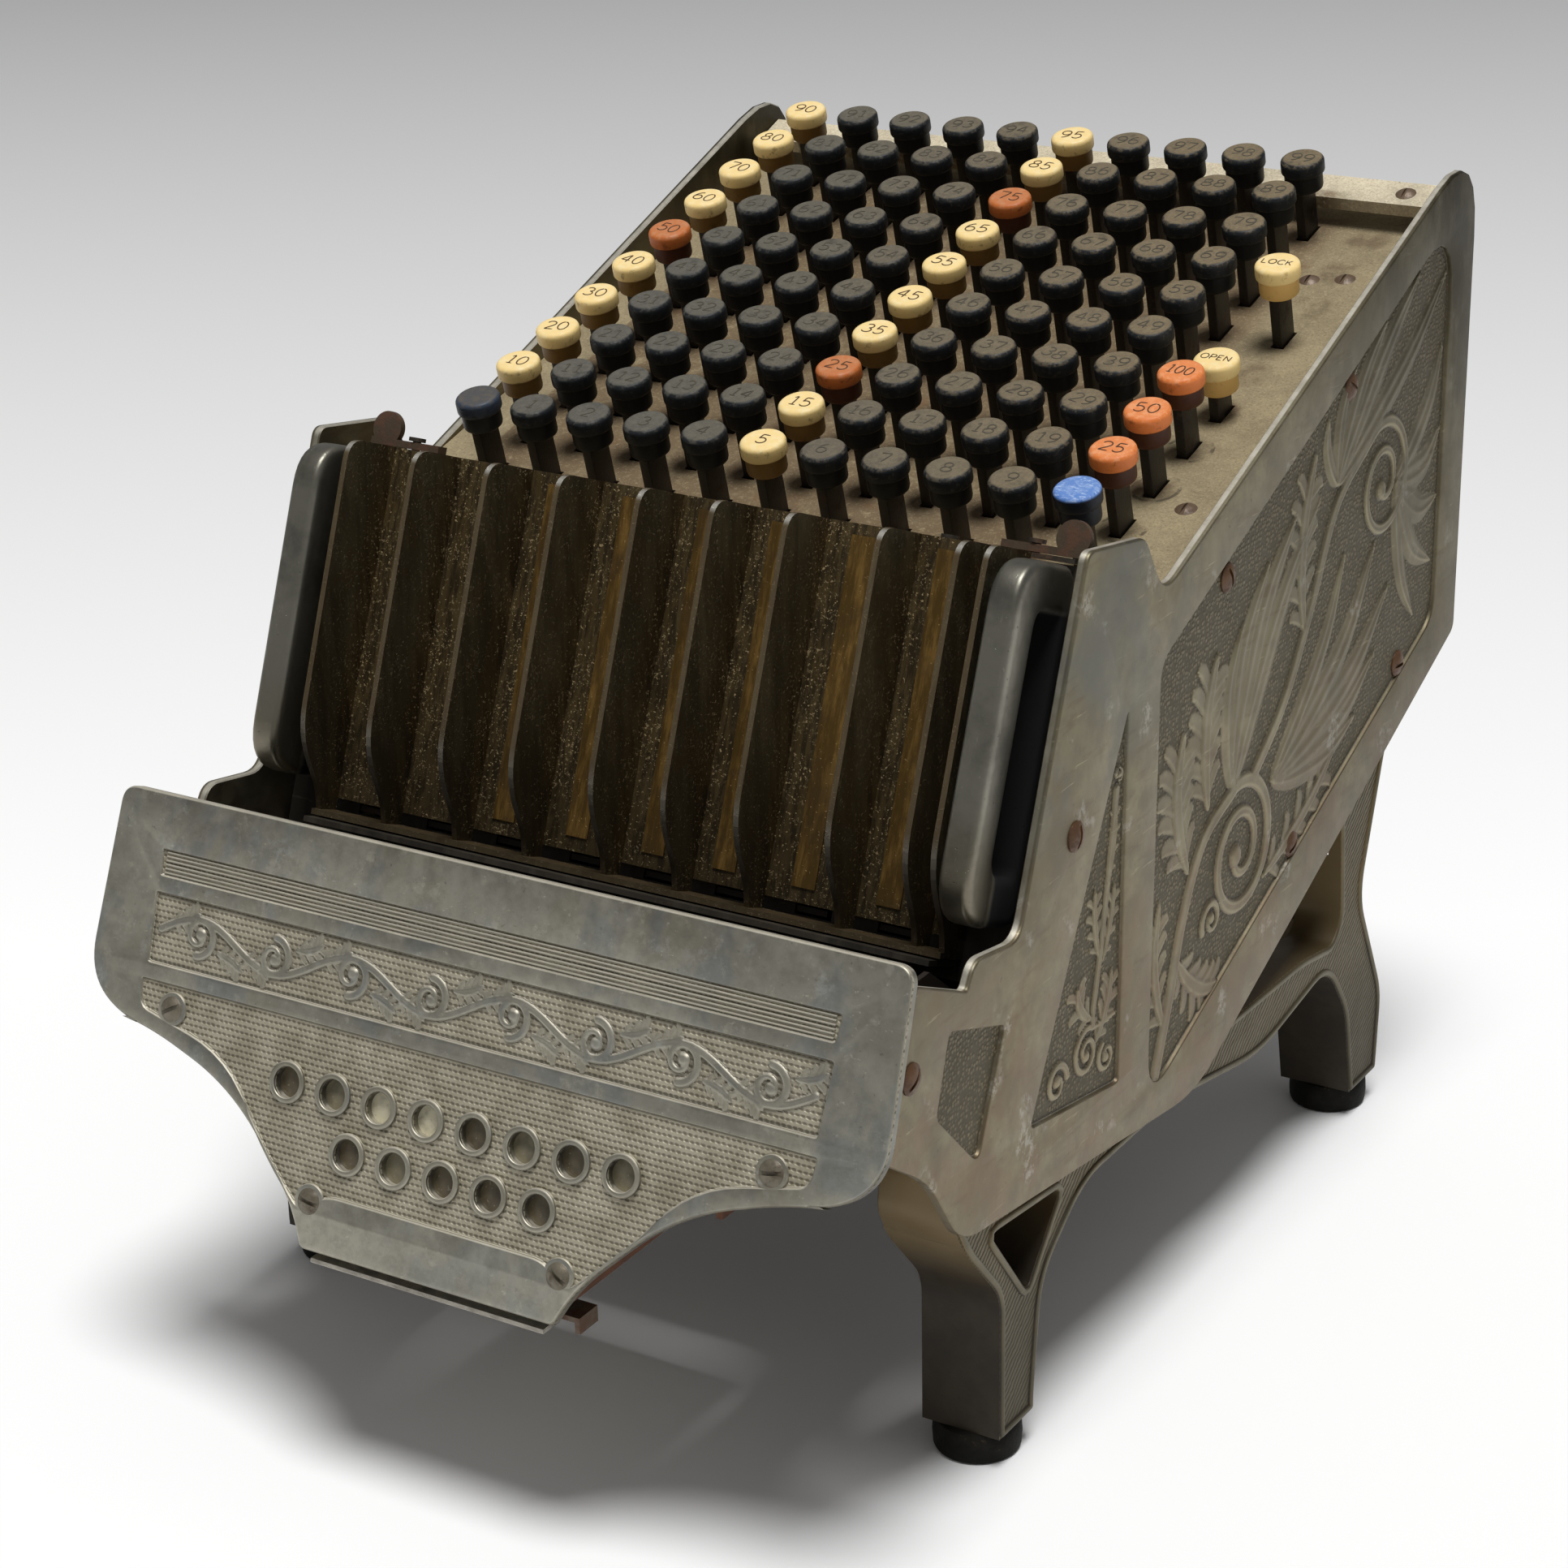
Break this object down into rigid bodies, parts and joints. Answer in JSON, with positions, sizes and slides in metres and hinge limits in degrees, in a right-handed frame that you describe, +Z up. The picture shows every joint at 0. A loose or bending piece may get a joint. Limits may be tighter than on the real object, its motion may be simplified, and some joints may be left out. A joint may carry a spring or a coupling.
{
  "type": "coin dispenser",
  "caption": "Keyboard coin dispenser: sloped deck of press keys, lift-out coin tray, cast front plate over a coin hopper, cast ornamental sides on legs.",
  "frame": {"origin": "middle of the footprint of the bounding box, at floor level", "axes": "+Z up, +Y from the front plate to the rear cover, +X to the right of a person who stands in front of the keys"},
  "size_m": [0.2458, 0.3798, 0.2946],
  "materials": {
    "casting": "worn nickel finish on a casting",
    "front_casting": "worn nickel finish with pale spots",
    "handle": "polished by hands",
    "deck": "dusty sheet",
    "dark_steel": "aged steel",
    "rusty_steel": "rusty steel",
    "gate": "worn sheet",
    "tray": "aged dark bronze finish",
    "hopper": "brown paint",
    "brass": "worn brass",
    "panes": "clear celluloid panes",
    "rubber": "old rubber",
    "black_key": "black, dusty on top",
    "ivory_key": "cream",
    "orange_key": "orange",
    "blue_key": "blue"
  },
  "bodies": {
    "case": {"side_panel_left": "casting", "side_panel_right": "casting", "leg_frame_left": "casting", "leg_frame_right": "casting", "rubber_feet": "rubber", "key_deck": "deck", "deck_rear_bar": "deck", "stem_guide": "dark_steel", "rear_cover": "dark_steel", "bottom_cover": "dark_steel", "cross_rods": "dark_steel", "front_plate": "front_casting", "porthole_panes": "panes", "coin_hopper": "hopper", "gate_pin": "dark_steel", "tray_bed": "dark_steel", "panel_screws": "rusty_steel", "plate_screws": "rusty_steel", "deck_screws": "rusty_steel"},
    "tray": {"coin_tray": "tray", "tray_ribs": "tray", "tray_ledge": "tray", "wear_strips": "brass", "tray_handle_left": "handle", "tray_handle_right": "handle", "latch_strips": "dark_steel", "strip_rivets": "dark_steel"},
    "latch_left": {"tray_latch_left": "rusty_steel"},
    "latch_right": {"tray_latch_right": "rusty_steel"},
    "gate": {"outlet_gate": "gate", "gate_tab": "rusty_steel"},
    "payout": {"payout_shaft": "dark_steel"},
    "lock": {"lock_bar": "dark_steel"},
    "ejector_1": {"coin_ejector_1": "gate"},
    "ejector_2": {"coin_ejector_2": "gate"},
    "ejector_3": {"coin_ejector_3": "gate"},
    "ejector_4": {"coin_ejector_4": "gate"},
    "ejector_5": {"coin_ejector_5": "gate"},
    "ejector_6": {"coin_ejector_6": "gate"},
    "ejector_7": {"coin_ejector_7": "gate"},
    "ejector_8": {"coin_ejector_8": "gate"},
    "keys_0": {"key_column_0": "ivory_key"},
    "keys_1": {"key_column_1": "black_key"},
    "keys_2": {"key_column_2": "black_key"},
    "keys_3": {"key_column_3": "black_key"},
    "keys_4": {"key_column_4": "black_key"},
    "keys_5": {"key_column_5": "ivory_key"},
    "keys_6": {"key_column_6": "black_key"},
    "keys_7": {"key_column_7": "black_key"},
    "keys_8": {"key_column_8": "black_key"},
    "keys_9": {"key_column_9": "black_key"},
    "key_blue": {"key_blue": "blue_key"},
    "key_quarter": {"key_quarter": "orange_key"},
    "key_half": {"key_half": "orange_key"},
    "key_dollar": {"key_dollar": "orange_key"},
    "key_open": {"key_open": "ivory_key"},
    "key_lock": {"key_lock": "ivory_key"}
  },
  "joints": [
    {"name": "tray_lift", "type": "slide", "parent": "case", "child": "tray", "axis": [0, 0.3616, 0.9323], "range_m": [0, 0.08]},
    {"name": "latch_left_slide", "type": "slide", "parent": "tray", "child": "latch_left", "axis": [-1, 0, 0], "range_m": [0, 0.005]},
    {"name": "latch_right_slide", "type": "slide", "parent": "tray", "child": "latch_right", "axis": [1, 0, 0], "range_m": [0, 0.005]},
    {"name": "gate_swing", "type": "hinge", "parent": "case", "child": "gate", "pos_m": [0, -0.1061, 0.06196], "axis": [1, 0, 0], "range_deg": [0, 45], "stiffness_Nm_per_rad": 0.15, "springref_deg": -34.38},
    {"name": "payout_turn", "type": "hinge", "parent": "case", "child": "payout", "pos_m": [0, -0.03134, 0.15603], "axis": [-1, 0, 0], "range_deg": [0, 20], "stiffness_Nm_per_rad": 1, "springref_deg": -11.46},
    {"name": "eject_1", "type": "slide", "parent": "case", "child": "ejector_1", "axis": [0, -0.9323, 0.3616], "range_m": [0, 0.0121]},
    {"name": "eject_2", "type": "slide", "parent": "case", "child": "ejector_2", "axis": [0, -0.9323, 0.3616], "range_m": [0, 0.0121]},
    {"name": "eject_3", "type": "slide", "parent": "case", "child": "ejector_3", "axis": [0, -0.9323, 0.3616], "range_m": [0, 0.0121]},
    {"name": "eject_4", "type": "slide", "parent": "case", "child": "ejector_4", "axis": [0, -0.9323, 0.3616], "range_m": [0, 0.0121]},
    {"name": "eject_5", "type": "slide", "parent": "case", "child": "ejector_5", "axis": [0, -0.9323, 0.3616], "range_m": [0, 0.0121]},
    {"name": "eject_6", "type": "slide", "parent": "case", "child": "ejector_6", "axis": [0, -0.9323, 0.3616], "range_m": [0, 0.0121]},
    {"name": "eject_7", "type": "slide", "parent": "case", "child": "ejector_7", "axis": [0, -0.9323, 0.3616], "range_m": [0, 0.0121]},
    {"name": "eject_8", "type": "slide", "parent": "case", "child": "ejector_8", "axis": [0, -0.9323, 0.3616], "range_m": [0, 0.0121]},
    {"name": "press_column_0", "type": "slide", "parent": "case", "child": "keys_0", "axis": [0, 0.2639, -0.9646], "range_m": [0, 0.006], "stiffness_N_per_m": 700, "springref_m": -0.006},
    {"name": "press_column_1", "type": "slide", "parent": "case", "child": "keys_1", "axis": [0, 0.2639, -0.9646], "range_m": [0, 0.006], "stiffness_N_per_m": 700, "springref_m": -0.006},
    {"name": "press_column_2", "type": "slide", "parent": "case", "child": "keys_2", "axis": [0, 0.2639, -0.9646], "range_m": [0, 0.006], "stiffness_N_per_m": 700, "springref_m": -0.006},
    {"name": "press_column_3", "type": "slide", "parent": "case", "child": "keys_3", "axis": [0, 0.2639, -0.9646], "range_m": [0, 0.006], "stiffness_N_per_m": 700, "springref_m": -0.006},
    {"name": "press_column_4", "type": "slide", "parent": "case", "child": "keys_4", "axis": [0, 0.2639, -0.9646], "range_m": [0, 0.006], "stiffness_N_per_m": 700, "springref_m": -0.006},
    {"name": "press_column_5", "type": "slide", "parent": "case", "child": "keys_5", "axis": [0, 0.2639, -0.9646], "range_m": [0, 0.006], "stiffness_N_per_m": 700, "springref_m": -0.006},
    {"name": "press_column_6", "type": "slide", "parent": "case", "child": "keys_6", "axis": [0, 0.2639, -0.9646], "range_m": [0, 0.006], "stiffness_N_per_m": 700, "springref_m": -0.006},
    {"name": "press_column_7", "type": "slide", "parent": "case", "child": "keys_7", "axis": [0, 0.2639, -0.9646], "range_m": [0, 0.006], "stiffness_N_per_m": 700, "springref_m": -0.006},
    {"name": "press_column_8", "type": "slide", "parent": "case", "child": "keys_8", "axis": [0, 0.2639, -0.9646], "range_m": [0, 0.006], "stiffness_N_per_m": 700, "springref_m": -0.006},
    {"name": "press_column_9", "type": "slide", "parent": "case", "child": "keys_9", "axis": [0, 0.2639, -0.9646], "range_m": [0, 0.006], "stiffness_N_per_m": 700, "springref_m": -0.006},
    {"name": "press_blue", "type": "slide", "parent": "case", "child": "key_blue", "axis": [0, 0.2639, -0.9646], "range_m": [0, 0.006], "stiffness_N_per_m": 150, "springref_m": -0.006},
    {"name": "press_quarter", "type": "slide", "parent": "case", "child": "key_quarter", "axis": [0, 0.2639, -0.9646], "range_m": [0, 0.006], "stiffness_N_per_m": 150, "springref_m": -0.006},
    {"name": "press_half", "type": "slide", "parent": "case", "child": "key_half", "axis": [0, 0.2639, -0.9646], "range_m": [0, 0.006], "stiffness_N_per_m": 150, "springref_m": -0.006},
    {"name": "press_dollar", "type": "slide", "parent": "case", "child": "key_dollar", "axis": [0, 0.2639, -0.9646], "range_m": [0, 0.006], "stiffness_N_per_m": 150, "springref_m": -0.006},
    {"name": "press_open", "type": "slide", "parent": "case", "child": "key_open", "axis": [0, 0.2639, -0.9646], "range_m": [0, 0.006], "stiffness_N_per_m": 150, "springref_m": -0.006},
    {"name": "press_lock", "type": "slide", "parent": "case", "child": "key_lock", "axis": [0, 0.2639, -0.9646], "range_m": [0, 0.006], "stiffness_N_per_m": 150, "springref_m": -0.006},
    {"name": "lock_slide", "type": "slide", "parent": "case", "child": "lock", "axis": [0, 0.9646, 0.2639], "range_m": [0, 0.0031]}
  ],
  "couplings": [
    {"joint": "eject_1", "follows": "payout_turn", "m_per_rad": 0.034377},
    {"joint": "eject_2", "follows": "payout_turn", "m_per_rad": 0.034377},
    {"joint": "eject_3", "follows": "payout_turn", "m_per_rad": 0.034377},
    {"joint": "eject_4", "follows": "payout_turn", "m_per_rad": 0.034377},
    {"joint": "eject_5", "follows": "payout_turn", "m_per_rad": 0.034377},
    {"joint": "eject_6", "follows": "payout_turn", "m_per_rad": 0.034377},
    {"joint": "eject_7", "follows": "payout_turn", "m_per_rad": 0.034377},
    {"joint": "eject_8", "follows": "payout_turn", "m_per_rad": 0.034377},
    {"joint": "lock_slide", "follows": "press_lock", "ratio": 0.5}
  ]
}
